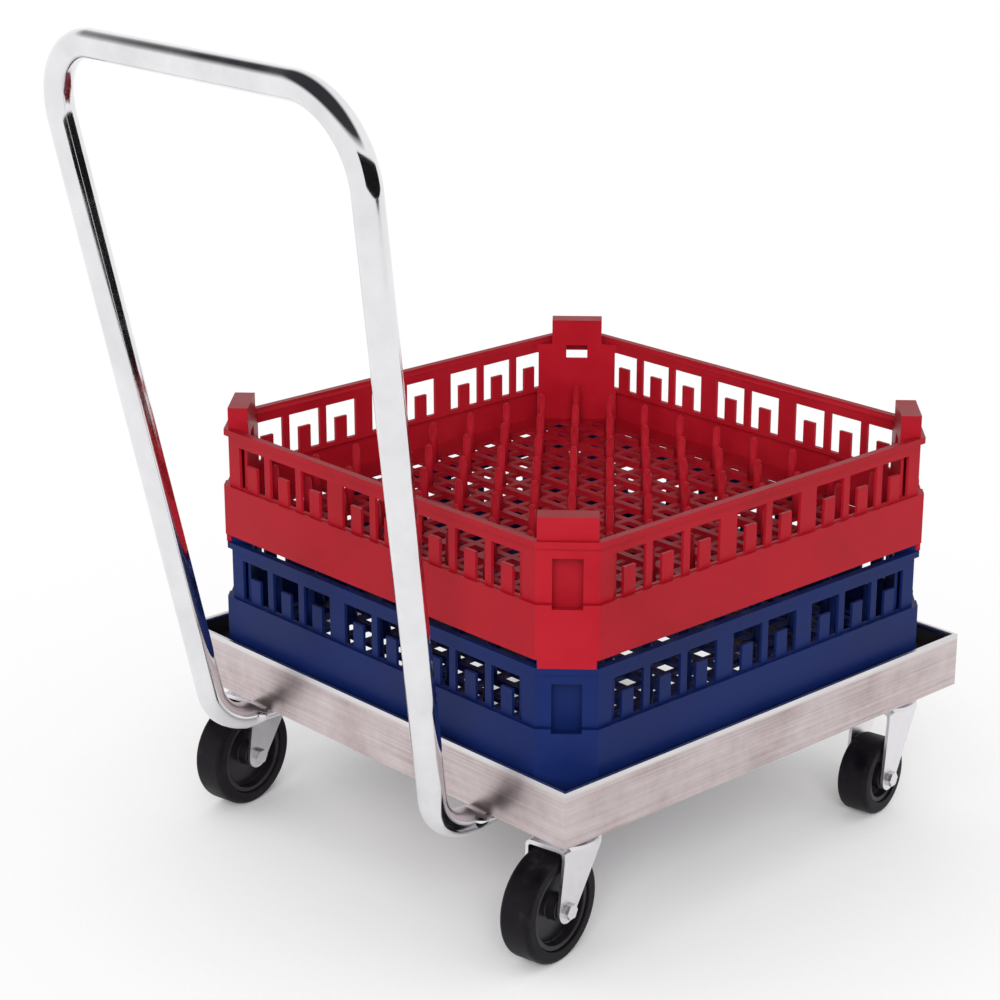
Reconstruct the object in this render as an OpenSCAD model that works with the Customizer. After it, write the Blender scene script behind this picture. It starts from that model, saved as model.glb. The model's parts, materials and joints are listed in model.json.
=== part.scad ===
// Dish rack dolly with a push handle, carrying two stacked dish racks.
// +X is the way it is pushed, +Y is its left side, +Z is up, and the floor is Z = 0.
// The handle stands behind the deck, on the -X side.

/* [Dish racks] */
// Outside width and length of a dish rack at its lower band
rack_size = 502; // [480:1:520]
// Height of a rack from its bottom edge to its rim
rack_h = 104; // [96:1:112]
// Height of the solid band round a rack's foot
band_h = 49; // [40:1:52]
// How far the rack's upper wall stands in from the band
wall_recess = 4; // [4:0.5:6]
// Wall thickness of the racks
rack_wall = 3; // [2.5:0.5:3.5]
// Length cut off each side at a rack's corners
corner_cut = 38; // [34:1:44]
// Height of the corner posts above the rim
post_h = 20; // [16:1:26]
// Thickness of the corner posts and their pockets
post_depth = 19; // [14:1:22]
// How far a post reaches into the rack stacked on it
nest_depth = 12; // [8:1:14]
// Width of a window in the rack wall
window_w = 38; // [30:1:39]
// Height of a window in the rack wall
window_h = 39; // [30:1:40]
// Width of the rib between two windows
window_rib = 8; // [6:0.5:9]
// Width of the pillar between two groups of windows
pillar_w = 21; // [16:1:23]
// Width of the window in each corner
corner_window_w = 26; // [20:1:30]
// Height of the window in each corner
corner_window_h = 43; // [30:1:43]
// Width of the tongue that stands in each window
tongue_w = 14; // [8:1:18]
// Height of the tongue that stands in each window
tongue_h = 24; // [16:1:28]
// Thickness of the rack's open floor
lattice_t = 4; // [3:0.5:6]
// Distance between the ribs of the open floor
lattice_pitch = 25; // [22:0.5:26]
// Width of a rib of the open floor
lattice_rib = 7; // [5:0.5:9]
// Height of the pegs above the open floor
peg_h = 44; // [30:1:60]
// Diameter of a peg at its foot
peg_d = 9; // [7:0.5:11]

/* [Deck frame] */
// Gap between a rack and the deck liner on each side
rack_side_gap = 6.5; // [3:0.5:10]
// Height of the frame's side rails
rail_h = 52; // [44:1:60]
// Thickness of the rails' aluminium
rail_t = 3; // [2.5:0.5:4]
// Height of the thick bead along the rails' top edge
bead_h = 5; // [4:0.5:6]
// Width of the ledge inside the rails
ledge_w = 30; // [24:1:40]
// Depth of the rack's seat below the rails' top edge
seat_depth = 18; // [16:0.5:22]
// Thickness of the black liner on the ledge
liner_t = 2; // [1.5:0.5:3]
// Width of the plates that join the rails at the front and the rear
cross_plate_w = 100; // [92:1:130]
// Thickness of those plates
cross_plate_t = 4; // [3:0.5:6]

/* [Casters] */
// Diameter of the rear wheels, under the handle
rear_wheel_d = 101.6; // [90:0.1:110]
// Diameter of the front wheels
front_wheel_d = 76; // [70:1:90]
// Width of the wheels
wheel_w = 32; // [28:1:34]
// Thickness of the tyre
tyre_t = 12; // [9:0.5:14]
// Distance from the frame's outside to a caster's swivel axis
caster_inset = 46; // [44:1:52]
// How far a wheel trails behind its swivel axis
caster_trail = 25; // [22:1:27]
// Angle that the casters are turned to, as they came to rest
caster_yaw = 10; // [0:1:20]
// Gap between the rear wheel and the fork's crown
crown_gap = 3.4; // [3:0.2:6]
// Thickness of the fork's sheet steel
fork_t = 3; // [2.5:0.5:4]
// Width of a fork leg where it leaves the crown
fork_top_w = 56; // [48:1:58]
// Radius of a fork leg's round end
fork_end_r = 12; // [11:0.5:14]
// Gap between the wheel and a fork leg
fork_side_gap = 2; // [1.5:0.5:3]
// Height of each of the two race rings of the swivel
race_h = 5.5; // [5:0.5:7]
// Radius of the swivel's race rings
race_r = 25; // [23:0.5:26]
// Diameter of the kingpin
kingpin_d = 10; // [8:0.5:12]
// Diameter of the balls in the swivel
ball_d = 5; // [4:0.5:6]
// Number of balls in one swivel
ball_count = 14; // [10:1:16]
// Side of a caster's square top plate
caster_plate_w = 66; // [64:1:72]
// Thickness of a caster's top plate
caster_plate_t = 4; // [3:0.5:5]
// Distance between a top plate's bolt holes
caster_bolt_pitch = 50; // [49:0.5:52]
// Diameter of the caster bolts
caster_bolt_d = 6; // [5:0.5:6.5]
// Diameter of the axle bolt
axle_d = 8; // [6:0.5:9]

/* [Handle] */
// Outside diameter of the handle's tube
tube_d = 25.4; // [22:0.1:27]
// Wall thickness of the handle's tube
tube_t = 2; // [1.5:0.25:3]
// Height of the top bar's centre line above the rails' top edge
handle_rise = 593; // [500:1:750]
// How far the top bar stands out behind the feet
handle_lean = 117; // [80:1:180]
// Distance between the legs' centre lines at the top bar
handle_top_w = 416; // [360:1:480]
// How far each foot stands in from the middles of the rear casters
foot_inset = 62.5; // [58:0.5:80]
// Distance from the frame to the legs' line at the height of the feet
handle_standoff = 48; // [46:1:60]
// Radius of the handle's top bends along the centre line
top_bend_r = 70; // [50:1:90]
// Radius of the bends at the feet along the centre line
foot_bend_r = 41; // [34:1:42]
// Length of a foot under the frame
foot_length = 78; // [70:1:90]
// Thickness of the tube where it is flattened for a foot
foot_flat_t = 12; // [9:0.5:14]
// Distance of the feet's bolts from the frame's face and from the feet's ends
foot_bolt_edge = 14; // [13:1:18]
// Diameter of the bolts through the feet
foot_bolt_d = 8; // [6:0.5:8]

/* [Hidden] */
$fn = 48;

// Clearances of the fits
running_gap = 0.08;
fit_gap = 0.05;
seat_gap = 0.3;
hole_gap = 0.3;
cut = 1;

// Sizes across the flats of the two kinds of nuts
m8_flats = 13;
m6_flats = 10;

// Rack
rack_half = rack_size / 2;
wall_half = rack_half - wall_recess;
rim_half = wall_half + 3;
rim_h = 6;
stack_pitch = rack_h + post_h - nest_depth;
// The corner feet stand on the rim of the rack below
rack_foot_h = post_h - nest_depth;
rack_foot_t = 4.5;
floor_z = nest_depth + seat_gap;
window_z = band_h + 1;
corner_window_z = window_z - 5;
pocket_hole = [22, 11];
post_w = corner_cut * sqrt(2);
pocket_x = (2 * wall_half - corner_cut) / sqrt(2) - post_depth;
hole_w = lattice_pitch - lattice_rib;
hole_rows = floor((rack_half - rack_wall - lattice_rib) / lattice_pitch);
peg_rows = floor((hole_rows - 1) / 2);
peg_bar_h = 3;

// Deck frame
liner_half = rack_half + rack_side_gap;
frame_half = liner_half + liner_t + rail_t;
bead_w = rail_t + liner_t;
frame_size = 2 * frame_half;

// Casters
wheel_top = max(rear_wheel_d, front_wheel_d);
crown_z = wheel_top + crown_gap;
crown_t = fork_t + 1;
race_z = crown_z + crown_t;
race_gap = 0.3;
plate_z = race_z + 2 * race_h;
caster_h = plate_z + caster_plate_t;
fork_in = wheel_w / 2 + fork_side_gap;
fork_out = fork_in + fork_t;
crown_r = 29;
ball_ring_r = race_r - ball_d / 2 - 3.5;
rivet_head_h = 2.4;
nut_h = 5;
axle_head_h = 5.5;
caster_off = frame_half - caster_inset;

// Heights
rail_z = caster_h;
deck_top = rail_z + rail_h;
seat_z = deck_top - seat_depth;
rack_z = seat_z + rack_foot_h;
ledge_top = seat_z - liner_t;

// Handle
tube_r = tube_d / 2;
// A bend is a hair thicker than the straight bars that run a little way into it
bend_step = 0.15;
bend_lap = 1;
// Flattening a foot keeps the tube's girth
foot_flat_w = PI * (tube_d - foot_flat_t) / 2 + foot_flat_t;
foot_z = rail_z - foot_flat_t / 2;
foot_y = caster_off - foot_inset;
foot_round_x = -frame_half - 8;
foot_end_x = -frame_half + foot_length;
foot_slot_w = foot_flat_w - 13;
corner_low = [-(frame_half + handle_standoff), foot_y, foot_z];
corner_high = [corner_low[0] - handle_lean, handle_top_w / 2, deck_top + handle_rise];
foot_bolt_x = [-frame_half + foot_bolt_edge, foot_end_x - foot_bolt_edge];
foot_head_r = foot_bolt_d / 2 + 3;
foot_head_h = 4;

// The deck's middle stands forward of the origin, which lies under the whole part's middle
rear_reach = tube_r + bend_step - corner_high[0];
deck_x = (rear_reach - frame_half) / 2;

CASTERS = [
    ["rear_left", -1, 1, rear_wheel_d],
    ["rear_right", -1, -1, rear_wheel_d],
    ["front_left", 1, 1, front_wheel_d],
    ["front_right", 1, -1, front_wheel_d]
];
CASTER_PARTS = ["top_plate", "kingpin", "fork", "axle_bolt", "axle_nut", "bushing", "hub", "tyre"];
RACKS = [["lower", 0], ["upper", 1]];
RACK_PARTS = ["walls", "floor", "pegs"];

// Shared shapes

// A square with its corners cut off at 45 degrees
module cut_square(half, leg) {
    k = half - leg;
    polygon([
        [half, k], [k, half], [-k, half], [-half, k],
        [-half, -k], [-k, -half], [k, -half], [half, -k]
    ]);
}

// A square ring with cut corners
module cut_ring(outer, inner, leg, z, h) {
    translate([0, 0, z])
        linear_extrude(h)
            difference() {
                cut_square(outer, leg);
                cut_square(inner, leg);
            }
}

// A hexagon bolt head or nut, measured across its flats
module hex(across, h) {
    cylinder(r = across / sqrt(3), h = h, $fn = 6);
}

// A low round bolt head
module pan_head(r, h) {
    intersection() {
        cylinder(r = r, h = h);
        translate([0, 0, h - r * 1.6])
            sphere(r = r * 1.6);
    }
}

// Children at the four corners given by half spacings
module at_corners(dx, dy) {
    for (sx = [-1, 1])
        for (sy = [-1, 1])
            translate([sx * dx, sy * dy, 0])
                children();
}

// Children turned to each of the four sides of a square
module on_sides() {
    for (a = [0, 90, 180, 270])
        rotate([0, 0, a])
            children();
}

// Unit vector
function unit(v) = v / norm(v);

// A round bar from point a to point b, run on a little way past both
module bar(a, b, r) {
    d = b - a;
    len = norm(d);
    translate(a)
        rotate([0, acos(d[2] / len), atan2(d[1], d[0])])
            translate([0, 0, -bend_lap])
                cylinder(r = r, h = len + 2 * bend_lap);
}

// Distance from a corner to the tangent points of its bend
function bend_run(into, away, radius) = radius * tan(acos(into * away) / 2);

// A round bend of a bar at the point corner, from direction into to direction away
module bend(corner, into, away, radius, r) {
    turn = acos(into * away);
    start = corner - into * bend_run(into, away, radius);
    side = unit(away - into * (into * away));
    up = cross(side, into);
    centre = start + side * radius;
    m = [
        [-side[0], into[0], -up[0], centre[0]],
        [-side[1], into[1], -up[1], centre[1]],
        [-side[2], into[2], -up[2], centre[2]],
        [0, 0, 0, 1]
    ];
    multmatrix(m)
        rotate_extrude(angle = turn, $fn = 96)
            translate([radius, 0])
                circle(r = r + bend_step, $fn = 48);
}

// Deck frame

// Cross-section of a rail: outward face at 0, inside of the frame at positive x
module rail_profile() {
    square([rail_t, rail_h]);
    translate([0, rail_h - bead_h])
        square([bead_w, bead_h - bead_w / 2]);
    translate([bead_w / 2, rail_h - bead_w / 2])
        circle(d = bead_w);
    translate([0, ledge_top - rail_z - rail_t])
        square([rail_t + ledge_w, rail_t]);
    translate([rail_t, ledge_top - rail_z - rail_t - 2])
        square([2, 2]);
}

// One rail along the +X side, mitred at both ends
module rail() {
    intersection() {
        translate([frame_half, frame_half, rail_z])
            rotate([90, 0, 0])
                linear_extrude(frame_size)
                    mirror([1, 0])
                        rail_profile();
        translate([0, 0, rail_z - cut])
            linear_extrude(rail_h + 2 * cut)
                polygon([[0, 0], [frame_half + cut, -frame_half - cut], [frame_half + cut, frame_half + cut]]);
    }
}

module frame_rail(turn) {
    color("gainsboro")
        translate([deck_x, 0, 0])
            rotate([0, 0, turn])
                rail();
}

// One strip of the liner on the +X side: a flat on the ledge and an upstand behind the rack
module liner_strip() {
    inner = frame_half - rail_t - ledge_w;
    outer = frame_half - rail_t - fit_gap;
    reach = outer - 0.3;
    translate([inner, -reach, ledge_top])
        cube([outer - inner, 2 * reach - (outer - inner), liner_t]);
    translate([outer - liner_t, -reach, ledge_top])
        cube([liner_t, 2 * reach - liner_t, deck_top - bead_h - fit_gap - ledge_top]);
}

module deck_liner() {
    color("#1c1c1e")
        translate([deck_x, 0, 0])
            on_sides()
                liner_strip();
}

// Plate across the frame, welded between the rails, that carries two casters
module cross_plate(dir) {
    near = frame_half - rail_t - cross_plate_w;
    half = frame_half - rail_t;
    color("gainsboro")
        translate([deck_x, 0, rail_z])
            mirror([dir < 0 ? 1 : 0, 0, 0])
                difference() {
                    translate([near, -half, 0])
                        cube([cross_plate_w, 2 * half, cross_plate_t]);
                    for (s = [-1, 1])
                        translate([caster_off, s * caster_off, -cut]) {
                            at_corners(caster_bolt_pitch / 2, caster_bolt_pitch / 2)
                                cylinder(d = caster_bolt_d + 2 * hole_gap, h = cross_plate_t + 2 * cut);
                            cylinder(d = kingpin_d + 8, h = cross_plate_t + 2 * cut);
                        }
                    if (dir < 0)
                        for (x = foot_bolt_x)
                            for (s = [-1, 1])
                                translate([-x, s * foot_y, -cut])
                                    cylinder(d = foot_bolt_d + 2 * hole_gap, h = cross_plate_t + 2 * cut);
                }
}

// Casters

module at_caster(c) {
    translate([deck_x + c[1] * caster_off, c[2] * caster_off, 0])
        children();
}

// Frame of the swivelling parts: the wheel trails towards -X, turned by the yaw angle
module at_fork(c) {
    at_caster(c)
        rotate([0, 0, caster_yaw])
            children();
}

// Frame of the wheel: its axle lies along Z here
module at_axle(c) {
    at_fork(c)
        translate([-caster_trail, 0, c[3] / 2])
            rotate([90, 0, 0])
                children();
}

// Ball groove in a race ring
module ball_groove(z) {
    translate([0, 0, z])
        rotate_extrude(angle = 360)
            translate([ball_ring_r, 0])
                circle(d = ball_d + 2 * running_gap);
}

module top_plate(c) {
    color("silver")
        at_caster(c)
            difference() {
                union() {
                    translate([-caster_plate_w / 2, -caster_plate_w / 2, plate_z])
                        cube([caster_plate_w, caster_plate_w, caster_plate_t]);
                    translate([0, 0, race_z + race_h + race_gap / 2])
                        cylinder(r = race_r, h = race_h - race_gap / 2);
                }
                translate([0, 0, race_z])
                    cylinder(r = kingpin_d / 2 + fit_gap, h = 2 * race_h + caster_plate_t + cut);
                ball_groove(race_z + race_h);
                translate([0, 0, plate_z - cut])
                    at_corners(caster_bolt_pitch / 2, caster_bolt_pitch / 2)
                        cylinder(d = caster_bolt_d + 2 * hole_gap, h = caster_plate_t + 2 * cut);
            }
}

// The rivet that holds the fork to the top plate
module kingpin(c) {
    low = crown_z - running_gap;
    color("silver")
        at_caster(c) {
            translate([0, 0, low])
                cylinder(d = kingpin_d, h = caster_h - low);
            translate([0, 0, low - rivet_head_h])
                cylinder(r = kingpin_d / 2 + 3, h = rivet_head_h);
            translate([0, 0, caster_h + fit_gap])
                cylinder(r = kingpin_d / 2 + 2.5, h = rivet_head_h);
            translate([0, 0, caster_h])
                cylinder(d = kingpin_d, h = 2 * fit_gap);
        }
}

module swivel_balls() {
    color("gray")
        for (c = CASTERS)
            at_caster(c)
                for (i = [0 : ball_count - 1])
                    rotate([0, 0, 360 * i / ball_count])
                        translate([ball_ring_r, 0, race_z + race_h])
                            sphere(d = ball_d, $fn = 32);
}

// Cross-section of the pressed fork: an upside-down U with round shoulders
module fork_section(height) {
    shoulder = fork_t + 3;
    difference() {
        union() {
            translate([-fork_out, -height])
                square([2 * fork_out, height - shoulder]);
            translate([-fork_out + shoulder, -shoulder - cut])
                square([2 * (fork_out - shoulder), shoulder + cut]);
            for (s = [-1, 1])
                translate([s * (fork_out - shoulder), -shoulder])
                    circle(r = shoulder);
        }
        translate([-fork_in, -height - cut])
            square([2 * fork_in, height + cut - crown_t - 3]);
        translate([-fork_in + 3, -crown_t - 4])
            square([2 * fork_in - 6, 4]);
        for (s = [-1, 1])
            translate([s * (fork_in - 3), -crown_t - 3])
                circle(r = 3);
    }
}

// Point where a line from p touches the circle round o, on the left or right side
function touch(p, o, r, side) =
    let (d = norm(o - p), a = asin(r / d), b = atan2(o[1] - p[1], o[0] - p[0]) + side * a)
    p + sqrt(d * d - r * r) * [cos(b), sin(b)];

// Side view of the fork: a wide top that tapers to a round end at the axle
module fork_outline(axle_z) {
    top = crown_z + crown_t;
    end = [-caster_trail, axle_z];
    shoulder_z = crown_z - 8;
    rear = [-fork_top_w / 2 - 2, shoulder_z];
    front = [fork_top_w / 2 - 4, shoulder_z];
    polygon([
        [rear[0], top], rear,
        touch(rear, end, fork_end_r, -1), end, touch(front, end, fork_end_r, 1),
        front, [front[0], top]
    ]);
    translate(end)
        circle(r = fork_end_r);
}

module fork(c) {
    axle_z = c[3] / 2;
    height = crown_z + crown_t - axle_z + fork_end_r + cut;
    color("silver")
        at_fork(c)
            difference() {
                union() {
                    intersection() {
                        translate([-fork_top_w, 0, crown_z + crown_t])
                            rotate([90, 0, 90])
                                linear_extrude(2 * fork_top_w)
                                    fork_section(height);
                        translate([0, fork_out + cut, 0])
                            rotate([90, 0, 0])
                                linear_extrude(2 * (fork_out + cut))
                                    fork_outline(axle_z);
                    }
                    translate([0, 0, crown_z])
                        cylinder(r = crown_r, h = crown_t);
                    translate([0, 0, race_z])
                        cylinder(r = race_r, h = race_h - race_gap / 2);
                }
                translate([0, 0, crown_z - cut])
                    cylinder(r = kingpin_d / 2 + running_gap, h = crown_t + race_h + 2 * cut);
                ball_groove(race_z + race_h);
                translate([-caster_trail, fork_out + cut, axle_z])
                    rotate([90, 0, 0])
                        cylinder(d = axle_d + 2 * fit_gap, h = 2 * (fork_out + cut));
            }
}

module axle_bolt(c) {
    color("silver")
        at_axle(c) {
            translate([0, 0, -fork_out - nut_h - 3])
                cylinder(d = axle_d, h = 2 * fork_out + nut_h + 3);
            translate([0, 0, fork_out])
                hex(m8_flats, axle_head_h);
        }
}

module axle_nut(c) {
    color("silver")
        at_axle(c)
            translate([0, 0, -fork_out - nut_h])
                difference() {
                    hex(m8_flats, nut_h);
                    translate([0, 0, -cut])
                        cylinder(d = axle_d + 2 * fit_gap, h = nut_h + 2 * cut);
                }
}

// Steel sleeve on which the wheel turns
module bushing(c) {
    len = 2 * (fork_in - seat_gap);
    color("gray")
        at_axle(c)
            translate([0, 0, -len / 2])
                difference() {
                    cylinder(d = axle_d + 5, h = len);
                    translate([0, 0, -cut])
                        cylinder(d = axle_d + 2 * running_gap, h = len + 2 * cut);
                }
}

// Half of a wheel's core in section: boss, web and rim
module hub_section(rim_r) {
    boss_r = axle_d / 2 + 8;
    web = 5;
    bore_r = (axle_d + 5) / 2 + fit_gap;
    translate([bore_r, -wheel_w / 2])
        square([boss_r - bore_r, wheel_w]);
    translate([boss_r - cut, -web])
        square([rim_r - boss_r + cut, 2 * web]);
    translate([rim_r - 5, 2 - wheel_w / 2])
        square([5, wheel_w - 4]);
}

module hub(c) {
    color("#2b2b2e")
        at_axle(c)
            rotate_extrude()
                hub_section(c[3] / 2 - tyre_t);
}

// Half of the tyre in section, with a round shoulder on each side of a flat tread
module tyre(c) {
    rim_r = c[3] / 2 - tyre_t + fit_gap;
    out_r = c[3] / 2;
    edge = 5;
    color("#151517")
        at_axle(c)
            rotate_extrude()
                difference() {
                    union() {
                        translate([rim_r, -wheel_w / 2])
                            square([out_r - edge - rim_r, wheel_w]);
                        translate([rim_r, edge - wheel_w / 2])
                            square([out_r - rim_r, wheel_w - 2 * edge]);
                        for (s = [-1, 1])
                            translate([out_r - edge, s * (wheel_w / 2 - edge)])
                                circle(r = edge);
                    }
                    translate([rim_r - cut, -wheel_w])
                        square([cut, 2 * wheel_w]);
                }
}

// Bolt heads above the cross plates and shanks down through the casters' top plates
module caster_bolts() {
    grip = cross_plate_t + caster_plate_t;
    color("silver")
        for (c = CASTERS)
            at_caster(c)
                at_corners(caster_bolt_pitch / 2, caster_bolt_pitch / 2) {
                    translate([0, 0, caster_h + cross_plate_t])
                        pan_head(caster_bolt_d, 3.5);
                    translate([0, 0, plate_z - nut_h - 1])
                        cylinder(d = caster_bolt_d, h = grip + nut_h + 1);
                }
}

module caster_nuts() {
    color("silver")
        for (c = CASTERS)
            at_caster(c)
                at_corners(caster_bolt_pitch / 2, caster_bolt_pitch / 2)
                    translate([0, 0, plate_z - nut_h])
                        difference() {
                            hex(m6_flats, nut_h);
                            translate([0, 0, -cut])
                                cylinder(d = caster_bolt_d + 2 * fit_gap, h = nut_h + 2 * cut);
                        }
}

// Handle

// The handle's round bar: leg, top bar, leg, with both ends bent in towards the feet
module handle_bar(r, back) {
    low = corner_low;
    high = corner_high;
    rise = unit(high - low);
    along = [0, -1, 0];
    foot_dir = [-1, 0, 0];
    low_run = bend_run(foot_dir, rise, foot_bend_r);
    high_run = bend_run(rise, along, top_bend_r);
    round_end = [foot_round_x - back - bend_lap, foot_y, foot_z];
    for (s = [0, 1])
        mirror([0, s, 0]) {
            bar(round_end, low - foot_dir * low_run, r);
            bend(low, foot_dir, rise, foot_bend_r, r);
            bar(low + rise * low_run, high - rise * high_run, r);
            bend(high, rise, along, top_bend_r, r);
        }
    top_end = high + along * high_run;
    bar(top_end, [top_end[0], -top_end[1], top_end[2]], r);
}

// A flat bar with round sides from x = from_x to to_x, on both feet
module flat_feet(from_x, to_x, w, t) {
    for (s = [-1, 1])
        translate([from_x, s * foot_y, foot_z])
            rotate([90, 0, 90])
                linear_extrude(to_x - from_x) {
                    square([w - t, t], center = true);
                    for (side = [-1, 1])
                        translate([side * (w - t) / 2, 0])
                            circle(d = t);
                }
}

module handle_tube() {
    wall = 2 * tube_t;
    color("lightgray")
        translate([deck_x, 0, 0])
            difference() {
                union() {
                    handle_bar(tube_r, 0);
                    flat_feet(foot_round_x - bend_lap, foot_end_x, foot_flat_w, foot_flat_t);
                }
                handle_bar(tube_r - tube_t, tube_t);
                flat_feet(foot_round_x - 2 * tube_t, foot_end_x + cut, foot_slot_w, foot_flat_t - wall);
                for (x = foot_bolt_x)
                    for (s = [-1, 1])
                        translate([x, s * foot_y, foot_z - foot_flat_t])
                            cylinder(d = foot_bolt_d + 2 * hole_gap, h = 2 * foot_flat_t);
            }
}

// Bolts up through the flattened feet and the rear cross plate
module handle_bolts() {
    low = foot_z - foot_flat_t / 2;
    high = rail_z + cross_plate_t + 7 + 1.5;
    color("silver")
        translate([deck_x, 0, 0])
            for (x = foot_bolt_x)
                for (s = [-1, 1])
                    translate([x, s * foot_y, low]) {
                        mirror([0, 0, 1])
                            pan_head(foot_head_r, foot_head_h);
                        translate([0, 0, -cut])
                            cylinder(d = foot_bolt_d, h = high - low + cut);
                    }
}

module handle_nuts() {
    color("silver")
        translate([deck_x, 0, rail_z + cross_plate_t])
            for (x = foot_bolt_x)
                for (s = [-1, 1])
                    translate([x, s * foot_y, 0])
                        difference() {
                            hex(m8_flats, 7);
                            translate([0, 0, -cut])
                                cylinder(d = foot_bolt_d + 2 * fit_gap, h = 7 + 2 * cut);
                        }
}

// Dish racks

module at_rack(level) {
    translate([deck_x, 0, rack_z + level * stack_pitch])
        children();
}

// Middle of each window along a wall: three, two and three
function window_places() =
    let (
        step = window_w + window_rib,
        pair_w = 2 * window_w + window_rib,
        trio_w = 3 * window_w + 2 * window_rib,
        trio = pair_w / 2 + pillar_w + trio_w / 2
    )
    concat(
        [for (i = [-1, 0, 1]) -trio + i * step],
        [-step / 2, step / 2],
        [for (i = [-1, 0, 1]) trio + i * step]
    );

// One window: an n-shaped hole round the tongue, cut through the +X wall
module window_cut() {
    slot = (window_w - tongue_w) / 2;
    for (s = [-1, 1])
        translate([wall_half - rack_wall - cut, s * (window_w - slot) / 2 - slot / 2, window_z])
            cube([rack_wall + 2 * cut, slot, window_h]);
    translate([wall_half - rack_wall - cut, -window_w / 2, window_z + tongue_h])
        cube([rack_wall + 2 * cut, window_w, window_h - tongue_h]);
}

// The moulded walls: band, step, windowed upper wall, rim, corner posts, pockets and feet
module rack_walls(level, tint) {
    corner_out = pocket_x + post_depth;
    band_out = (2 * rack_half - corner_cut) / sqrt(2);
    pocket_h = rack_h - rim_h - floor_z - lattice_t;
    color(tint)
        at_rack(level)
            difference() {
                union() {
                    cut_ring(rack_half, rack_half - rack_wall, corner_cut, 0, band_h);
                    cut_ring(rack_half, wall_half - rack_wall, corner_cut, band_h - rack_wall, rack_wall);
                    cut_ring(wall_half, wall_half - rack_wall, corner_cut, band_h - cut, rack_h - band_h + cut);
                    cut_ring(rim_half, wall_half - rack_wall - 1, corner_cut, rack_h - rim_h, rim_h);
                    for (a = [45, 135, 225, 315])
                        rotate([0, 0, a]) {
                            translate([pocket_x, -post_w / 2 + 1, rack_h - rim_h])
                                cube([post_depth, post_w - 2, rim_h + post_h]);
                            translate([pocket_x, -post_w / 2 - post_depth + 4, floor_z + lattice_t])
                                cube([rack_wall, post_w + 2 * post_depth - 8, pocket_h]);
                            translate([band_out - rack_foot_t - 0.5, -post_w / 2 + 2, -rack_foot_h])
                                cube([rack_foot_t, post_w - 4, rack_foot_h + cut]);
                        }
                }
                on_sides()
                    for (y = window_places())
                        translate([0, y, 0])
                            window_cut();
                for (a = [45, 135, 225, 315])
                    rotate([0, 0, a]) {
                        translate([corner_out - rack_wall - cut, -corner_window_w / 2, corner_window_z])
                            cube([band_out - corner_out + rack_wall + 2 * cut, corner_window_w, corner_window_h]);
                        translate([pocket_x - cut, -pocket_hole[0] / 2, rack_h - rim_h - 1 - pocket_hole[1]])
                            cube([rack_wall + 2 * cut, pocket_hole[0], pocket_hole[1]]);
                        translate([pocket_x + rack_wall, -post_w / 2 + 4, rack_h - rim_h - cut])
                            cube([post_depth - 2 * rack_wall, post_w - 8, rim_h + post_h - 3]);
                    }
            }
}

// True where a floor hole keeps clear of the corner pockets
function hole_fits(x, y) =
    (abs(x) + abs(y) + hole_w) / sqrt(2) < pocket_x - 1;

module rack_floor(level, tint) {
    inner = rack_half - rack_wall;
    color(tint)
        at_rack(level)
            translate([0, 0, floor_z])
                linear_extrude(lattice_t)
                    difference() {
                        cut_square(inner, corner_cut);
                        for (i = [-hole_rows : hole_rows - 1])
                            for (j = [-hole_rows : hole_rows - 1])
                                if (hole_fits((i + 0.5) * lattice_pitch, (j + 0.5) * lattice_pitch))
                                    translate([i + 0.5, j + 0.5] * lattice_pitch)
                                        square(hole_w, center = true);
                    }
}

// Rows of pegs that stand plates on edge, each row on its own bar
module rack_pegs(level, tint) {
    step = 2 * lattice_pitch;
    reach = peg_rows * step + peg_d / 2;
    color(tint)
        at_rack(level)
            translate([0, 0, floor_z + lattice_t])
                for (i = [-peg_rows : peg_rows])
                    translate([i * step, 0, 0]) {
                        translate([-lattice_rib / 2, -reach, 0])
                            cube([lattice_rib, 2 * reach, peg_bar_h]);
                        for (j = [-peg_rows : peg_rows])
                            translate([0, j * step, 0])
                                cylinder(d1 = peg_d, d2 = peg_d * 0.6, h = peg_h, $fn = 24);
                    }
}

frame_rail(0);  // front_rail
frame_rail(90);  // left_rail
frame_rail(180);  // rear_rail
frame_rail(270);  // right_rail
deck_liner();
cross_plate(1);  // front_cross_plate
cross_plate(-1);  // rear_cross_plate
caster_bolts();
caster_nuts();
swivel_balls();
handle_tube();
handle_bolts();
handle_nuts();
for (c = CASTERS) {
    top_plate(c);
    kingpin(c);
    fork(c);
    axle_bolt(c);
    axle_nut(c);
    bushing(c);
    hub(c);
    tyre(c);
}
rack_walls(0, "#1f4a94");  // lower_rack_walls
rack_floor(0, "#1f4a94");  // lower_rack_floor
rack_pegs(0, "#1f4a94");  // lower_rack_pegs
rack_walls(1, "#c4202f");  // upper_rack_walls
rack_floor(1, "#c4202f");  // upper_rack_floor
rack_pegs(1, "#c4202f");  // upper_rack_pegs
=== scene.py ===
import json
import math

import bmesh
import bpy
from mathutils import Matrix, Vector


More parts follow.
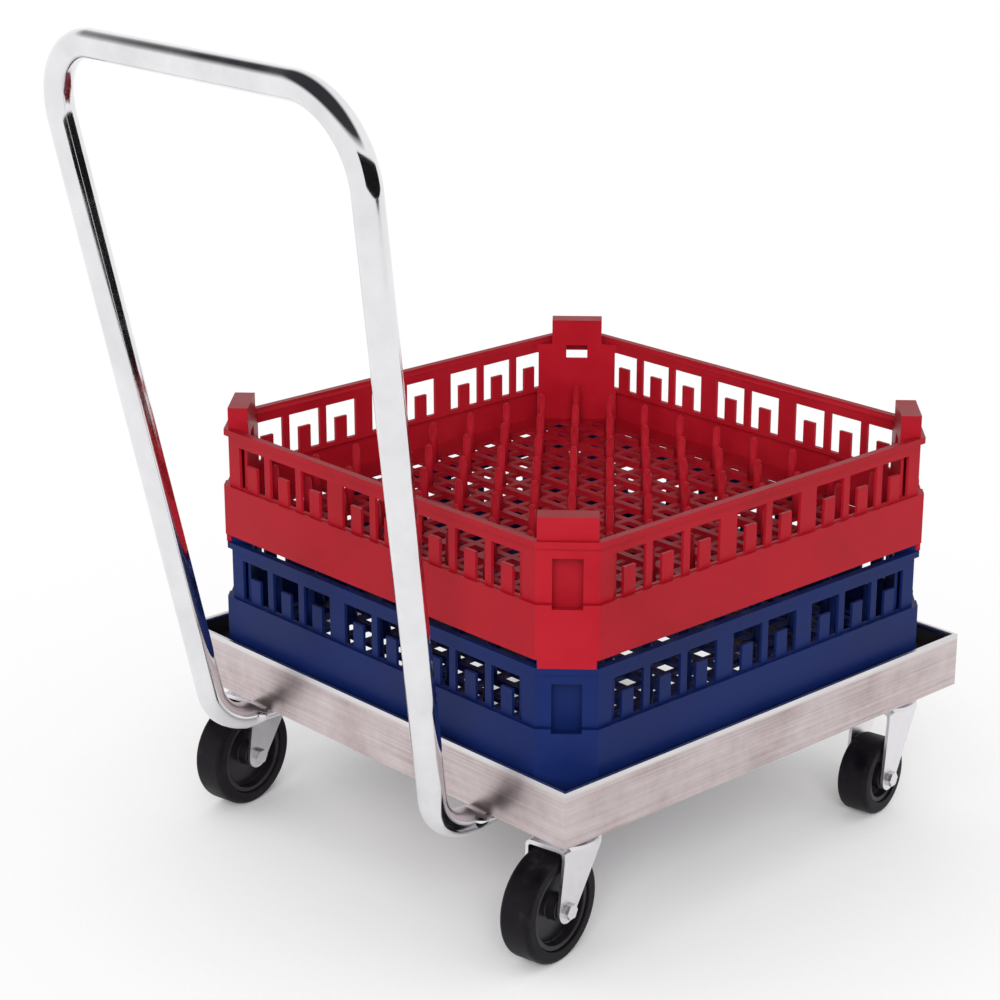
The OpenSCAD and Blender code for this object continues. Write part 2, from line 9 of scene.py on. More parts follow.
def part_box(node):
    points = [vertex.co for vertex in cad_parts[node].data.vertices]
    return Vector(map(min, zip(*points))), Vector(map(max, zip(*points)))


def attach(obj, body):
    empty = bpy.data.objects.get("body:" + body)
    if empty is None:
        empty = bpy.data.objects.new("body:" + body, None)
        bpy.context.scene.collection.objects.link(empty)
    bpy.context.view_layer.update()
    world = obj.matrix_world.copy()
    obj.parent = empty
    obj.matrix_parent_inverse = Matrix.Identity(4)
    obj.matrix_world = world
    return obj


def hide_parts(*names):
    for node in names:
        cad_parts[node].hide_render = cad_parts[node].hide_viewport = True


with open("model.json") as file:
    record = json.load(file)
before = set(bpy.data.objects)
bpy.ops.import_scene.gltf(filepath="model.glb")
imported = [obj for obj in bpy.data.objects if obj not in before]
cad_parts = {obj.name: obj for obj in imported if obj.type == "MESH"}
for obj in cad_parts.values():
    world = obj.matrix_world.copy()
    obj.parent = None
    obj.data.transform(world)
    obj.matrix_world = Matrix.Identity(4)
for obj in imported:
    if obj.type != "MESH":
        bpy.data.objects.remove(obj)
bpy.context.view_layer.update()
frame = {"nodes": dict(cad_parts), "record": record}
nodes = frame["nodes"]
body_of_node = {n: b for b, ns in frame["record"]["behaviour"]["bodies"].items() for n in ns}

# Camera
# The photograph was taken from behind the handle, on the dolly's right, about 2.4 m away and a
# little over a metre up. Its look point and directions come from the corners of the racks and frame.
deck_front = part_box("front_rail")[1].x
deck_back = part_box("rear_rail")[0].x
deck_x = (deck_front + deck_back) / 2
deck_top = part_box("front_rail")[1].z

view_forward = Vector((0.6417, 0.6950, -0.3244)).normalized()
view_right = Vector((0.7347, -0.6784, 0.0)).normalized()
view_up = view_right.cross(view_forward)
look_point = Vector((deck_x - 0.0506, 0.0467, deck_top + 0.1309))
look_distance = 2.4459
lens_to_width = 2.5749
camera_data = bpy.data.cameras.new("photo_camera")
camera_data.sensor_width = 36
camera_data.lens = camera_data.sensor_width * lens_to_width
camera = bpy.data.objects.new("photo_camera", camera_data)
bpy.context.scene.collection.objects.link(camera)
turn = Matrix((view_right, view_up, -view_forward)).transposed().to_4x4()
camera.matrix_world = Matrix.Translation(look_point - look_distance * view_forward) @ turn
bpy.context.scene.camera = camera
bpy.context.scene.view_settings.view_transform = "Standard"


# Satin aluminium of the deck frame
# The four rails are one aluminium extrusion, cut at 45 degrees and joined at the corners. Its
# rounded top bead is painted lighter as a highlight for its sheen, and the faces below it are dulled and
# scuffed.
def start_material(name, colour, metallic=0.0, roughness=0.5):
    material = bpy.data.materials.new(name)
    material.use_nodes = True
    material.diffuse_color = (*colour, 1)
    shader = material.node_tree.nodes["Principled BSDF"]
    shader.inputs["Base Color"].default_value = (*colour, 1)
    shader.inputs["Metallic"].default_value = metallic
    shader.inputs["Roughness"].default_value = roughness
    return material, material.node_tree, shader


def add_node(tree, kind, **settings):
    node = tree.nodes.new(kind)
    for key, value in settings.items():
        if key in node.inputs:
            node.inputs[key].default_value = value
        else:
            setattr(node, key, value)
    return node


def add_grain(tree, scale, detail=4.0, rough=0.55, stretch=(1, 1, 1)):
    place = add_node(tree, "ShaderNodeTexCoord")
    mapping = add_node(tree, "ShaderNodeMapping", Scale=stretch)
    grain = add_node(tree, "ShaderNodeTexNoise", Scale=scale, Detail=detail, Roughness=rough)
    tree.links.new(place.outputs["Object"], mapping.inputs["Vector"])
    tree.links.new(mapping.outputs["Vector"], grain.inputs["Vector"])
    return grain.outputs["Fac"]


def add_range(tree, value, low, high, to_low, to_high):
    spread = add_node(tree, "ShaderNodeMapRange")
    for key, number in (("From Min", low), ("From Max", high), ("To Min", to_low), ("To Max", to_high)):
        spread.inputs[key].default_value = number
    tree.links.new(value, spread.inputs["Value"])
    return spread.outputs["Result"]


def add_colours(tree, value, stops):
    ramp = add_node(tree, "ShaderNodeValToRGB")
    steps = ramp.color_ramp.elements
    while len(steps) < len(stops):
        steps.new(0.5)
    for step, (place, colour) in zip(steps, stops):
        step.position = place
        step.color = (*colour, 1)
    tree.links.new(value, ramp.inputs["Fac"])
    return ramp.outputs["Color"]


def add_bump(tree, shader, height, strength, distance):
    bump = add_node(tree, "ShaderNodeBump", Strength=strength, Distance=distance)
    tree.links.new(height, bump.inputs["Height"])
    tree.links.new(bump.outputs["Normal"], shader.inputs["Normal"])


def add_height(tree, low, high):
    place = add_node(tree, "ShaderNodeTexCoord")
    parts = add_node(tree, "ShaderNodeSeparateXYZ")
    tree.links.new(place.outputs["Object"], parts.inputs["Vector"])
    return add_range(tree, parts.outputs["Z"], low, high, 0, 1)


def add_mix(tree, share, first, second):
    mix = add_node(tree, "ShaderNodeMix", data_type="RGBA")
    tree.links.new(share, mix.inputs[0])
    for key, value in ((6, first), (7, second)):
        if isinstance(value, tuple):
            mix.inputs[key].default_value = (*value, 1)
        else:
            tree.links.new(value, mix.inputs[key])
    return mix.outputs[2]


def satin_aluminium():
    material, tree, shader = start_material("satin_aluminium", (0.59, 0.50, 0.50), 1.0, 0.34)
    streaks = add_grain(tree, 6.0, 6.0, 0.6, (1, 1, 90))
    clouds = add_grain(tree, 13.0, 5.0, 0.65)
    streak_share = 0.6
    mixed = add_node(tree, "ShaderNodeMath", operation="MULTIPLY_ADD")
    mixed.inputs[1].default_value = streak_share
    tree.links.new(streaks, mixed.inputs[0])
    tree.links.new(clouds, mixed.inputs[2])
    dull = add_colours(
        tree,
        add_range(tree, mixed.outputs["Value"], 0.56, 1.04, 0, 1),
        [(0.0, (0.42, 0.34, 0.34)), (0.45, (0.59, 0.50, 0.50)), (1.0, (0.76, 0.67, 0.68))],
    )
    # Painted highlight: the rounded top bead gets a lighter base colour, standing in for the sheen it
    # catches.
    bead_low = deck_top - 0.0065
    bead_side = deck_top - 0.0035
    painted_bead_highlight = add_height(tree, bead_low, bead_side)
    tree.links.new(add_mix(tree, painted_bead_highlight, dull, (0.78, 0.75, 0.76)), shader.inputs["Base Color"])
    tree.links.new(add_range(tree, clouds, 0.3, 0.7, 0.28, 0.44), shader.inputs["Roughness"])
    add_bump(tree, shader, streaks, 0.10, 0.0005)
    return material


aluminium = satin_aluminium()


def shaped(piece):
    graph = bpy.context.evaluated_depsgraph_get()
    graph.update()
    made = bpy.data.meshes.new_from_object(
        piece.evaluated_get(graph), preserve_all_data_layers=True, depsgraph=graph
    )
    piece.modifiers.clear()
    piece.data = made
    return made


def weld(mesh, gap, flat_angle=None):
    form = bmesh.new()
    form.from_mesh(mesh)
    bmesh.ops.remove_doubles(form, verts=form.verts, dist=gap)
    if flat_angle:
        bmesh.ops.dissolve_limit(form, angle_limit=flat_angle, verts=form.verts, edges=form.edges)
    form.to_mesh(mesh)
    form.free()


def eased(node, name, material, width, openings=None):
    mesh = nodes[node].data.copy()
    piece = bpy.data.objects.new(name, mesh)
    bpy.context.scene.collection.objects.link(piece)
    if openings:
        weld(mesh, 1e-6)
        cut = piece.modifiers.new("openings", "BOOLEAN")
        cut.solver = "EXACT"
        cut.object = openings
        mesh = shaped(piece)
    mesh.name = name
    weld(mesh, 1e-5, math.radians(1.5))
    mesh.materials.clear()
    mesh.materials.append(material)
    sharp_angle = math.radians(32)
    for face in mesh.polygons:
        face.use_smooth = True
    mesh.set_sharp_from_angle(angle=sharp_angle)
    edge = piece.modifiers.new("eased_edges", "BEVEL")
    edge.width = width
    edge.segments = 2
    edge.limit_method = "ANGLE"
    edge.angle_limit = sharp_angle
    edge.use_clamp_overlap = True
    even = piece.modifiers.new("even_faces", "WEIGHTED_NORMAL")
    even.keep_sharp = True
    even.weight = 100
    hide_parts(node)
    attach(piece, body_of_node[node])


for side in ("front", "rear", "left", "right"):
    eased(f"{side}_rail", f"{side}_rail_extrusion", aluminium, 0.0006)
for side in ("front", "rear"):
    eased(f"{side}_cross_plate", f"{side}_cross_plate_sheet", aluminium, 0.0004)


# Black liner on the ledge
# A black plastic channel lies on the rails' ledge and stands up behind the rack, so that the rack
# slides in without marking the aluminium. The middle of the deck is open.
def black_plastic():
    material, tree, shader = start_material("black_plastic", (0.012, 0.012, 0.014), 0.0, 0.5)
    specks = add_grain(tree, 900.0, 2.0, 0.5)
    wear = add_grain(tree, 14.0, 4.0, 0.6)
    tree.links.new(
        add_colours(tree, wear, [(0.35, (0.008, 0.008, 0.010)), (0.75, (0.020, 0.019, 0.021))]),
        shader.inputs["Base Color"],
    )
    tree.links.new(add_range(tree, wear, 0.3, 0.7, 0.42, 0.62), shader.inputs["Roughness"])
    add_bump(tree, shader, specks, 0.15, 0.0003)
    return material


black = black_plastic()
eased("deck_liner", "deck_liner_channel", black, 0.0005)


# Zinc plated caster metal
# Top plate, race rings and fork are pressed from sheet steel and zinc plated, which gives a pale
# bluish grey with faint clouds. The kingpin, axle bolt and nuts are plated too.
def zinc_plate():
    material, tree, shader = start_material("zinc_plate", (0.84, 0.82, 0.85), 1.0, 0.36)
    clouds = add_grain(tree, 60.0, 5.0, 0.6)
    tree.links.new(
        add_colours(tree, clouds, [(0.3, (0.78, 0.76, 0.79)), (0.7, (0.90, 0.88, 0.91))]),
        shader.inputs["Base Color"],
    )
    tree.links.new(add_range(tree, clouds, 0.3, 0.7, 0.28, 0.46), shader.inputs["Roughness"])
    add_bump(tree, shader, clouds, 0.10, 0.0003)
    return material


zinc = zinc_plate()
casters = ("rear_left", "rear_right", "front_left", "front_right")
for place in casters:
    eased(f"{place}_top_plate", f"{place}_swivel_plate", zinc, 0.0006)
    eased(f"{place}_kingpin", f"{place}_rivet", zinc, 0.0005)
    eased(f"{place}_fork", f"{place}_pressed_fork", zinc, 0.0008)
    eased(f"{place}_axle_bolt", f"{place}_axle_screw", zinc, 0.0004)
    eased(f"{place}_axle_nut", f"{place}_lock_nut", zinc, 0.0004)
for node, name in (
    ("caster_bolts", "caster_screws"),
    ("caster_nuts", "caster_lock_nuts"),
    ("handle_bolts", "handle_screws"),
    ("handle_nuts", "handle_lock_nuts"),
):
    eased(node, name, zinc, 0.0003)


# Bearing steel
# The balls of each swivel and the sleeve inside each wheel are plain oiled steel.
def bearing_steel():
    material, tree, shader = start_material("bearing_steel", (0.42, 0.42, 0.43), 1.0, 0.22)
    film = add_grain(tree, 120.0, 3.0, 0.5)
    tree.links.new(
        add_colours(tree, film, [(0.3, (0.32, 0.31, 0.30)), (0.7, (0.50, 0.50, 0.51))]),
        shader.inputs["Base Color"],
    )
    tree.links.new(add_range(tree, film, 0.3, 0.7, 0.16, 0.30), shader.inputs["Roughness"])
    return material


steel = bearing_steel()
for node in ["swivel_balls"] + [f"{place}_bushing" for place in casters]:
    nodes[node].data.materials.clear()
    nodes[node].data.materials.append(steel)


# Wheels
# Each wheel is a black moulded core in a black rubber tyre. The cores are a little glossier, and
# the treads are dusty and worn brownish where they have rolled.
def tyre_rubber():
    material, tree, shader = start_material("tyre_rubber", (0.006, 0.004, 0.007), 0.0, 0.55)
    shader.inputs["Specular IOR Level"].default_value = 0.15
    dust = add_grain(tree, 45.0, 6.0, 0.65)
    fine = add_grain(tree, 700.0, 2.0, 0.5)
    tree.links.new(
        add_colours(
            tree,
            dust,
            [(0.35, (0.004, 0.003, 0.005)), (0.58, (0.009, 0.007, 0.010)), (0.8, (0.034, 0.027, 0.031))],
        ),
        shader.inputs["Base Color"],
    )
    tree.links.new(add_range(tree, dust, 0.3, 0.7, 0.38, 0.65), shader.inputs["Roughness"])
    add_bump(tree, shader, fine, 0.2, 0.0003)
    return material


def wheel_core():
    material, tree, shader = start_material("wheel_core", (0.010, 0.008, 0.012), 0.0, 0.35)
    shader.inputs["Specular IOR Level"].default_value = 0.35
    ripple = add_grain(tree, 80.0, 3.0, 0.5)
    tree.links.new(
        add_colours(tree, ripple, [(0.3, (0.007, 0.006, 0.009)), (0.75, (0.018, 0.015, 0.019))]),
        shader.inputs["Base Color"],
    )
    tree.links.new(add_range(tree, ripple, 0.3, 0.7, 0.26, 0.42), shader.inputs["Roughness"])
    add_bump(tree, shader, ripple, 0.08, 0.0003)
    return material


rubber = tyre_rubber()
core = wheel_core()
for place in casters:
    eased(f"{place}_tyre", f"{place}_rubber_tyre", rubber, 0.0010)
    eased(f"{place}_hub", f"{place}_moulded_core", core, 0.0008)


# Push handle
# One length of chrome plated steel tube is bent into a tall frame that leans back. Both ends are
# bent in under the rear rail, pressed flat there, and bolted up to the plate that holds the casters.
def chrome_plate():
    material, tree, shader = start_material("chrome_plate", (0.80, 0.80, 0.82), 1.0, 0.09)
    smears = add_grain(tree, 22.0, 5.0, 0.6)
    tree.links.new(
        add_colours(tree, smears, [(0.3, (0.74, 0.73, 0.75)), (0.7, (0.86, 0.86, 0.88))]),
        shader.inputs["Base Color"],
    )
    tree.links.new(add_range(tree, smears, 0.35, 0.75, 0.06, 0.20), shader.inputs["Roughness"])
    add_bump(tree, shader, smears, 0.03, 0.0004)
    return material


chrome = chrome_plate()
tube_r = 0.0127
tube_wall = 0.002
flat_t = 0.012
rail_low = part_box("rear_rail")[0].z
foot_z = rail_low - flat_t / 2
foot_y = 0.154
foot_length = 0.078
leg_standoff = 0.048
leg_lean = 0.117
top_half_width = 0.208
top_rise = 0.593
foot_bend_r = 0.041
top_bend_r = 0.070
press_start = deck_back - 0.0135
press_run = 0.012
corner_low = Vector((deck_back - leg_standoff, foot_y, foot_z))
corner_high = Vector((corner_low.x - leg_lean, top_half_width, deck_top + top_rise))
foot_end = Vector((deck_back + foot_length, foot_y, foot_z))


def round_corner(before, corner, after, radius, steps=20):
    into = (corner - before).normalized()
    away = (after - corner).normalized()
    bend = into.angle(away)
    side = (away - into * into.dot(away)).normalized()
    start = corner - into * radius * math.tan(bend / 2)
    centre = start + side * radius
    return [
        centre - side * radius * math.cos(bend * i / steps) + into * radius * math.sin(bend * i / steps)
        for i in range(steps + 1)
    ]


def flat_share(point):
    pressed = (point.x - press_start) / press_run
    pressed = min(max(pressed, 0), 1)
    return pressed * pressed * (3 - 2 * pressed)


def tube_outline(share, inset, sides):
    edge = tube_r + (flat_t / 2 - tube_r) * share
    half_flat = math.pi * (tube_r - edge) / 2
    outline = []
    for k in range(sides):
        turn = 2 * math.pi * (k + 0.5) / sides
        wide = math.copysign(half_flat, math.sin(turn))
        outline.append(((edge - inset) * math.cos(turn), (edge - inset) * math.sin(turn) + wide))
    return outline


def pressed_tube(points, sides, name, material):
    directions = []
    for i, point in enumerate(points):
        before = points[max(i - 1, 0)]
        after = points[min(i + 1, len(points) - 1)]
        directions.append(((point - before).normalized() + (after - point).normalized()).normalized())
    form = bmesh.new()
    across = Vector((0, 0, 1))
    mouth_depth = 0.03

    def loop_at(point, ahead, inset):
        other = ahead.cross(across)
        outline = tube_outline(flat_share(point), inset, sides)
        return [form.verts.new(point + up * across + out * other) for up, out in outline]

    def skin(low, high):
        for k in range(sides):
            form.faces.new((low[k], low[(k + 1) % sides], high[(k + 1) % sides], high[k]))

    loops = []
    for i, (point, ahead) in enumerate(zip(points, directions)):
        across = (across - ahead * across.dot(ahead)).normalized()
        if i == 0:
            deep = loop_at(point + mouth_depth * ahead, ahead, tube_wall)
            mouth = loop_at(point, ahead, tube_wall)
            form.faces.new(deep)
            loops += [deep, mouth]
        loops.append(loop_at(point, ahead, 0))
        if i == len(points) - 1:
            mouth = loop_at(point, ahead, tube_wall)
            deep = loop_at(point - mouth_depth * ahead, ahead, tube_wall)
            form.faces.new(list(reversed(deep)))
            loops += [mouth, deep]
    for low, high in zip(loops, loops[1:]):
        skin(low, high)
    bmesh.ops.recalc_face_normals(form, faces=form.faces)
    mesh = bpy.data.meshes.new(name)
    form.to_mesh(mesh)
    form.free()
    for face in mesh.polygons:
        face.use_smooth = True
    mesh.set_sharp_from_angle(angle=math.radians(40))
    mesh.materials.append(material)
    piece = bpy.data.objects.new(name, mesh)
    bpy.context.scene.collection.objects.link(piece)
    return piece


press_end = deck_back - 0.0015
press_step = 0.0008
press_loops = 15
top_middle = Vector((corner_high.x, 0, corner_high.z))
left_half = (
    [foot_end, foot_end - Vector((0.06, 0, 0))]
    + [Vector((press_end - press_step * i, foot_y, foot_z)) for i in range(press_loops)]
    + round_corner(foot_end, corner_low, corner_high, foot_bend_r)
    + round_corner(corner_low, corner_high, top_middle, top_bend_r, 28)
)
right_half = [Vector((p.x, -p.y, p.z)) for p in reversed(left_half)]
handle = pressed_tube(left_half + right_half, 64, "push_handle", chrome)
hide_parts("handle_tube")
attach(handle, "dolly")


# Dish racks
# Each rack is one injection moulding in polypropylene: a solid band at its foot, a wall with
# windows above it, a rim, four corner posts and an open floor with rows of pegs.
def moulded_plastic(name, dark, plain, pale):
    material, tree, shader = start_material(name, plain, 0.0, 0.42)
    shader.inputs["Specular IOR Level"].default_value = 0.15
    clouds = add_grain(tree, 9.0, 4.0, 0.6)
    orange_peel = add_grain(tree, 420.0, 2.0, 0.5)
    tree.links.new(
        add_colours(tree, clouds, [(0.25, dark), (0.5, plain), (0.8, pale)]), shader.inputs["Base Color"]
    )
    tree.links.new(add_range(tree, clouds, 0.3, 0.7, 0.34, 0.52), shader.inputs["Roughness"])
    add_bump(tree, shader, orange_peel, 0.12, 0.0004)
    return material


red = moulded_plastic(
    "red_polypropylene", (0.33, 0.005, 0.012), (0.42, 0.009, 0.020), (0.48, 0.016, 0.028)
)
blue = moulded_plastic(
    "blue_polypropylene", (0.004, 0.012, 0.078), (0.006, 0.017, 0.105), (0.010, 0.025, 0.135)
)
corner_face = 0.3224
rack_foot = 0.008
window_width = 0.026
window_low, window_high = 0.045, 0.088
window_near, window_far = corner_face - 0.0052, corner_face - 0.0030
hole_width = 0.022
hole_low, hole_high = 0.083, 0.090
hole_near, hole_far = corner_face - 0.0200, corner_face - 0.0150


def corner_openings(base):
    form = bmesh.new()
    spans = (
        (window_near, window_far, window_width, base + window_low, base + window_high),
        (hole_near, hole_far, hole_width, base + hole_low, base + hole_high),
    )
    for quarter in range(4):
        spin = Matrix.Rotation(math.radians(45 + 90 * quarter), 4, "Z")
        place = Matrix.Translation((deck_x, 0, 0)) @ spin
        for near, far, width, low, high in spans:
            size = Matrix.Diagonal((far - near, width, high - low, 1))
            middle = Matrix.Translation(((near + far) / 2, 0, (low + high) / 2))
            bmesh.ops.create_cube(form, size=1, matrix=place @ middle @ size)
    mesh = bpy.data.meshes.new("corner_openings")
    form.to_mesh(mesh)
    form.free()
    blocks = bpy.data.objects.new("corner_openings", mesh)
    bpy.context.scene.collection.objects.link(blocks)
    return blocks


for level, plastic, slot in (("lower", blue, "blue_plastic"), ("upper", red, "red_plastic")):
    node = f"{level}_rack_walls"
    blocks = corner_openings(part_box(node)[0].z + rack_foot)
    eased(node, f"{level}_rack_moulded_walls", plastic, 0.0010, openings=blocks)
    bpy.data.objects.remove(blocks)
    nodes[f"{level}_rack_floor"].data.materials.clear()
    nodes[f"{level}_rack_floor"].data.materials.append(plastic)


# Pegs of the racks
# Nine rows of nine tapered pegs with round tips stand on the open floor, each row on a low web.
def tree_input(tree, name, kind, value=None):
    socket = tree.interface.new_socket(name=name, in_out="INPUT", socket_type=kind)
    if value is not None:
        socket.default_value = value
    return socket.identifier


def wire(tree, source, name, target, key):
    tree.links.new(source.outputs[name], target.inputs[key])


def peg_rows_tree():
    tree = bpy.data.node_groups.new("peg_rows", "GeometryNodeTree")
    keys = {
        "Rows": tree_input(tree, "Rows", "NodeSocketInt", 9),
        "Pitch": tree_input(tree, "Pitch", "NodeSocketFloat", 0.05),
        "Height": tree_input(tree, "Height", "NodeSocketFloat", 0.044),
        "Foot Radius": tree_input(tree, "Foot Radius", "NodeSocketFloat", 0.0055),
        "Tip Radius": tree_input(tree, "Tip Radius", "NodeSocketFloat", 0.0033),
        "Web Width": tree_input(tree, "Web Width", "NodeSocketFloat", 0.007),
        "Web Height": tree_input(tree, "Web Height", "NodeSocketFloat", 0.003),
        "Plastic": tree_input(tree, "Plastic", "NodeSocketMaterial"),
    }
    tree.interface.new_socket(name="Geometry", in_out="OUTPUT", socket_type="NodeSocketGeometry")
    given = tree.nodes.new("NodeGroupInput")
    less = add_node(tree, "ShaderNodeMath", operation="SUBTRACT")
    less.inputs[1].default_value = 1
    wire(tree, given, "Rows", less, 0)
    span = add_node(tree, "ShaderNodeMath", operation="MULTIPLY")
    wire(tree, less, "Value", span, 0)
    wire(tree, given, "Pitch", span, 1)
    field = tree.nodes.new("GeometryNodeMeshGrid")
    wire(tree, span, "Value", field, "Size X")
    wire(tree, span, "Value", field, "Size Y")
    wire(tree, given, "Rows", field, "Vertices X")
    wire(tree, given, "Rows", field, "Vertices Y")
    peg_sides = 16
    shaft = tree.nodes.new("GeometryNodeMeshCone")
    shaft.inputs["Vertices"].default_value = peg_sides
    stem = add_node(tree, "ShaderNodeMath", operation="SUBTRACT")
    wire(tree, given, "Height", stem, 0)
    wire(tree, given, "Tip Radius", stem, 1)
    wire(tree, given, "Tip Radius", shaft, "Radius Top")
    wire(tree, given, "Foot Radius", shaft, "Radius Bottom")
    wire(tree, stem, "Value", shaft, "Depth")
    tip = tree.nodes.new("GeometryNodeMeshUVSphere")
    tip.inputs["Segments"].default_value = peg_sides
    tip.inputs["Rings"].default_value = peg_sides // 2
    wire(tree, given, "Tip Radius", tip, "Radius")
    tip_place = tree.nodes.new("ShaderNodeCombineXYZ")
    wire(tree, stem, "Value", tip_place, "Z")
    raised = tree.nodes.new("GeometryNodeTransform")
    wire(tree, tip, "Mesh", raised, "Geometry")
    wire(tree, tip_place, "Vector", raised, "Translation")
    peg = tree.nodes.new("GeometryNodeJoinGeometry")
    wire(tree, raised, "Geometry", peg, "Geometry")
    wire(tree, shaft, "Mesh", peg, "Geometry")
    stand = tree.nodes.new("GeometryNodeInstanceOnPoints")
    wire(tree, field, "Mesh", stand, "Points")
    wire(tree, peg, "Geometry", stand, "Instance")
    line = tree.nodes.new("GeometryNodeMeshLine")
    line.mode = "OFFSET"
    wire(tree, given, "Rows", line, "Count")
    half = add_node(tree, "ShaderNodeMath", operation="MULTIPLY")
    half.inputs[1].default_value = -0.5
    wire(tree, span, "Value", half, 0)
    start = tree.nodes.new("ShaderNodeCombineXYZ")
    wire(tree, half, "Value", start, "X")
    step = tree.nodes.new("ShaderNodeCombineXYZ")
    wire(tree, given, "Pitch", step, "X")
    wire(tree, start, "Vector", line, "Start Location")
    wire(tree, step, "Vector", line, "Offset")
    web_length = add_node(tree, "ShaderNodeMath", operation="MULTIPLY_ADD")
    web_length.inputs[1].default_value = 2
    wire(tree, given, "Foot Radius", web_length, 0)
    wire(tree, span, "Value", web_length, 2)
    web_size = tree.nodes.new("ShaderNodeCombineXYZ")
    wire(tree, given, "Web Width", web_size, "X")
    wire(tree, web_length, "Value", web_size, "Y")
    wire(tree, given, "Web Height", web_size, "Z")
    web = tree.nodes.new("GeometryNodeMeshCube")
    wire(tree, web_size, "Vector", web, "Size")
    half_web = add_node(tree, "ShaderNodeMath", operation="MULTIPLY")
    half_web.inputs[1].default_value = 0.5
    wire(tree, given, "Web Height", half_web, 0)
    web_place = tree.nodes.new("ShaderNodeCombineXYZ")
    wire(tree, half_web, "Value", web_place, "Z")
    web_up = tree.nodes.new("GeometryNodeTransform")
    wire(tree, web, "Mesh", web_up, "Geometry")
    wire(tree, web_place, "Vector", web_up, "Translation")
    webs = tree.nodes.new("GeometryNodeInstanceOnPoints")
    wire(tree, line, "Mesh", webs, "Points")
    wire(tree, web_up, "Geometry", webs, "Instance")
    smooth = tree.nodes.new("GeometryNodeSetShadeSmooth")
    both = tree.nodes.new("GeometryNodeJoinGeometry")
    real = tree.nodes.new("GeometryNodeRealizeInstances")
    paint = tree.nodes.new("GeometryNodeSetMaterial")
    done = tree.nodes.new("NodeGroupOutput")
    wire(tree, stand, "Instances", real, "Geometry")
    wire(tree, real, "Geometry", smooth, "Geometry")
    real_webs = tree.nodes.new("GeometryNodeRealizeInstances")
    wire(tree, webs, "Instances", real_webs, "Geometry")
    wire(tree, real_webs, "Geometry", both, "Geometry")
    wire(tree, smooth, "Geometry", both, "Geometry")
    wire(tree, both, "Geometry", paint, "Geometry")
    wire(tree, given, "Plastic", paint, "Material")
    wire(tree, paint, "Geometry", done, "Geometry")
    return tree, keys


def grown(name, tree, keys, values, place):
    piece = bpy.data.objects.new(name, bpy.data.meshes.new(name))
    bpy.context.scene.collection.objects.link(piece)
    maker = piece.modifiers.new("maker", "NODES")
    maker.node_group = tree
    for key, value in values.items():
        maker[keys[key]] = value
    piece.update_tag()
    made = shaped(piece)
    made.name = name
    made.transform(Matrix.Translation(place))
    return piece


peg_tree, peg_keys = peg_rows_tree()
for level, plastic, slot in (("lower", blue, "blue_plastic"), ("upper", red, "red_plastic")):
    peg_low, peg_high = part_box(f"{level}_rack_pegs")
    pegs = grown(
        f"{level}_rack_peg_field",
        peg_tree,
        peg_keys,
        {"Height": peg_high.z - peg_low.z, "Plastic": plastic},
        (deck_x, 0, peg_low.z),
    )
    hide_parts(f"{level}_rack_pegs")
    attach(pegs, f"{level}_rack")


# Floor and light
# A plain white paper floor runs far back under an even white surround, with one broad lamp behind
# the camera. The ceiling and a dark cloth on the right show only as dark lines in the chrome.
def add_seen(tree):
    rays = add_node(tree, "ShaderNodeLightPath")
    seen = rays.outputs["Is Camera Ray"]
    for kind in ("Is Glossy Ray", "Is Transmission Ray"):
        either = add_node(tree, "ShaderNodeMath", operation="MAXIMUM")
        tree.links.new(seen, either.inputs[0])
        tree.links.new(rays.outputs[kind], either.inputs[1])
        seen = either.outputs["Value"]
    return seen


def white_paper():
    material, tree, shader = start_material("white_paper", (0.93, 0.93, 0.93), 0.0, 0.9)
    shader.inputs["Specular IOR Level"].default_value = 0.0
    fibre = add_grain(tree, 30.0, 3.0, 0.5)
    tree.links.new(
        add_colours(tree, fibre, [(0.3, (0.925, 0.925, 0.925)), (0.7, (0.935, 0.935, 0.935))]),
        shader.inputs["Base Color"],
    )
    glow = add_node(tree, "ShaderNodeEmission", Color=(1, 1, 1, 1), Strength=1.0)
    open_sky = add_node(tree, "ShaderNodeAmbientOcclusion", Distance=0.7, samples=8)
    share = add_node(tree, "ShaderNodeMath", operation="MULTIPLY")
    tree.links.new(add_seen(tree), share.inputs[0])
    tree.links.new(add_range(tree, open_sky.outputs["AO"], 0.20, 0.92, 0, 1), share.inputs[1])
    mix = add_node(tree, "ShaderNodeMixShader")
    tree.links.new(share.outputs["Value"], mix.inputs["Fac"])
    tree.links.new(shader.outputs["BSDF"], mix.inputs[1])
    tree.links.new(glow.outputs["Emission"], mix.inputs[2])
    tree.links.new(mix.outputs["Shader"], tree.nodes["Material Output"].inputs["Surface"])
    return material


reach = 30
ground = bpy.data.meshes.new("ground")
ground.from_pydata(
    [(-reach, -reach, 0), (reach, -reach, 0), (reach, reach, 0), (-reach, reach, 0)], [], [(0, 1, 2, 3)]
)
ground.materials.append(white_paper())
floor = bpy.data.objects.new("ground", ground)
bpy.context.scene.collection.objects.link(floor)


def dark_cloth():
    material, tree, shader = start_material("dark_cloth", (0.02, 0.02, 0.02), 0.0, 0.9)
    shader.inputs["Specular IOR Level"].default_value = 0.0
    return material


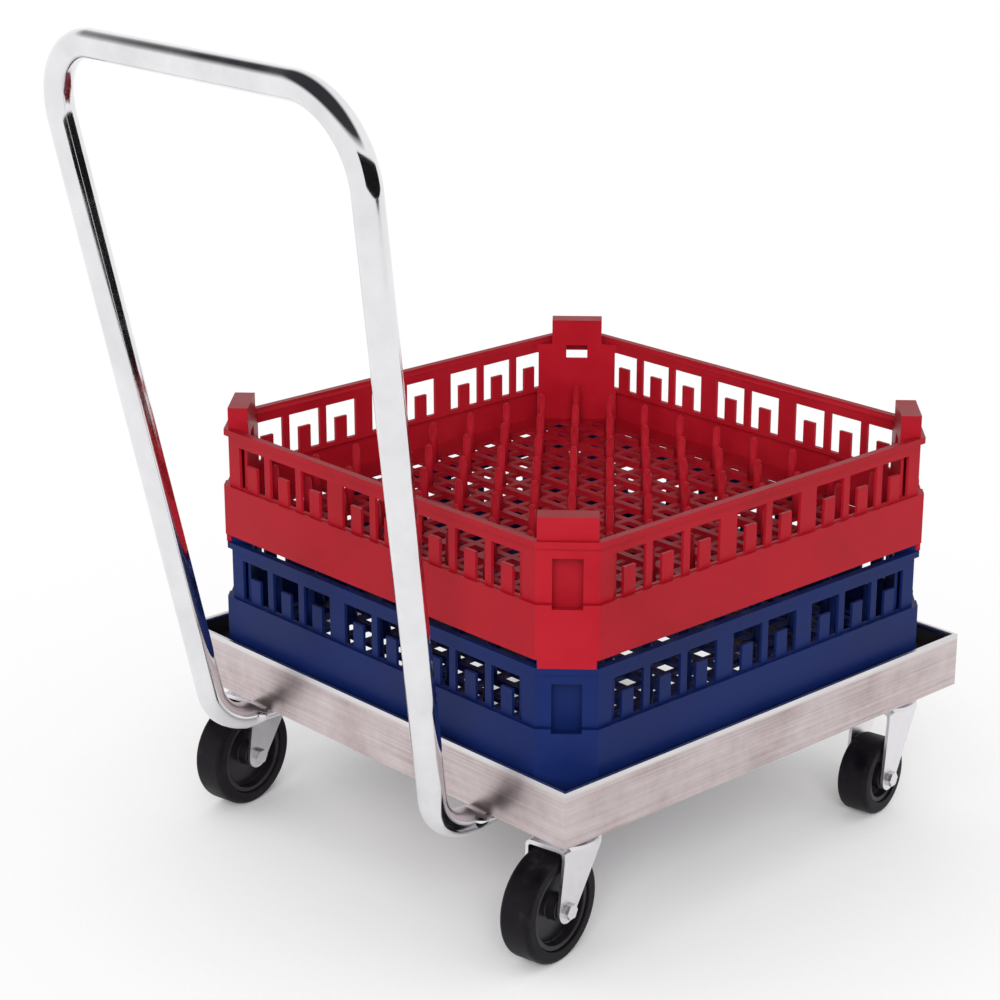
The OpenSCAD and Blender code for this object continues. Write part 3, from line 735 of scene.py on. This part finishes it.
cloth_y = -1.75
cloth_back, cloth_front = -1.5, 3.5
cloth_low, cloth_high = 0.02, 1.2
curtain = bpy.data.meshes.new("curtain")
curtain.from_pydata(
    [
        (cloth_back, cloth_y, cloth_low),
        (cloth_front, cloth_y, cloth_low),
        (cloth_front, cloth_y, cloth_high),
        (cloth_back, cloth_y, cloth_high),
    ],
    [],
    [(0, 1, 2, 3)],
)
curtain.materials.append(dark_cloth())
cloth = bpy.data.objects.new("curtain", curtain)
bpy.context.scene.collection.objects.link(cloth)
cloth.visible_camera = False
cloth.visible_diffuse = False
cloth.visible_shadow = False
cloth.visible_transmission = False

world = bpy.data.worlds.new("studio")
bpy.context.scene.world = world
world.use_nodes = True
sky = world.node_tree
surround = sky.nodes["Background"]
surround.inputs["Strength"].default_value = 0.80
direction = add_node(sky, "ShaderNodeTexCoord")
parts = add_node(sky, "ShaderNodeSeparateXYZ")
sky.links.new(direction.outputs["Generated"], parts.inputs["Vector"])
overhead = add_range(sky, parts.outputs["Z"], 0.38, 0.60, 0, 1)
sky.links.new(add_mix(sky, overhead, (1, 1, 1), (0.1, 0.1, 0.1)), surround.inputs["Color"])
behind = add_range(sky, parts.outputs["X"], 0.55, 0.25, 0, 1)
ceiling = add_node(sky, "ShaderNodeMath", operation="MULTIPLY")
sky.links.new(overhead, ceiling.inputs[0])
sky.links.new(behind, ceiling.inputs[1])
rays = add_node(sky, "ShaderNodeLightPath")
mirrored = add_node(sky, "ShaderNodeMath", operation="MULTIPLY")
sky.links.new(ceiling.outputs["Value"], mirrored.inputs[0])
sky.links.new(rays.outputs["Is Glossy Ray"], mirrored.inputs[1])
bright = add_node(sky, "ShaderNodeBackground", Strength=1.0)
dark_ceiling = (0.04, 0.04, 0.045)
mirror_colour = add_mix(sky, mirrored.outputs["Value"], (1, 1, 1), dark_ceiling)
sky.links.new(mirror_colour, bright.inputs["Color"])
choice = add_node(sky, "ShaderNodeMixShader")
sky.links.new(add_seen(sky), choice.inputs["Fac"])
sky.links.new(surround.outputs["Background"], choice.inputs[1])
sky.links.new(bright.outputs["Background"], choice.inputs[2])
sky.links.new(choice.outputs["Shader"], sky.nodes["World Output"].inputs["Surface"])

lamp_data = bpy.data.lights.new("broad_lamp", "SUN")
lamp_data.energy = 2.3
lamp_data.angle = math.radians(35)
lamp = bpy.data.objects.new("broad_lamp", lamp_data)
bpy.context.scene.collection.objects.link(lamp)
lamp.visible_glossy = False
lamp_direction = Vector((0.70, 0.68, -0.48))
lamp.rotation_euler = lamp_direction.to_track_quat("-Z", "Y").to_euler()
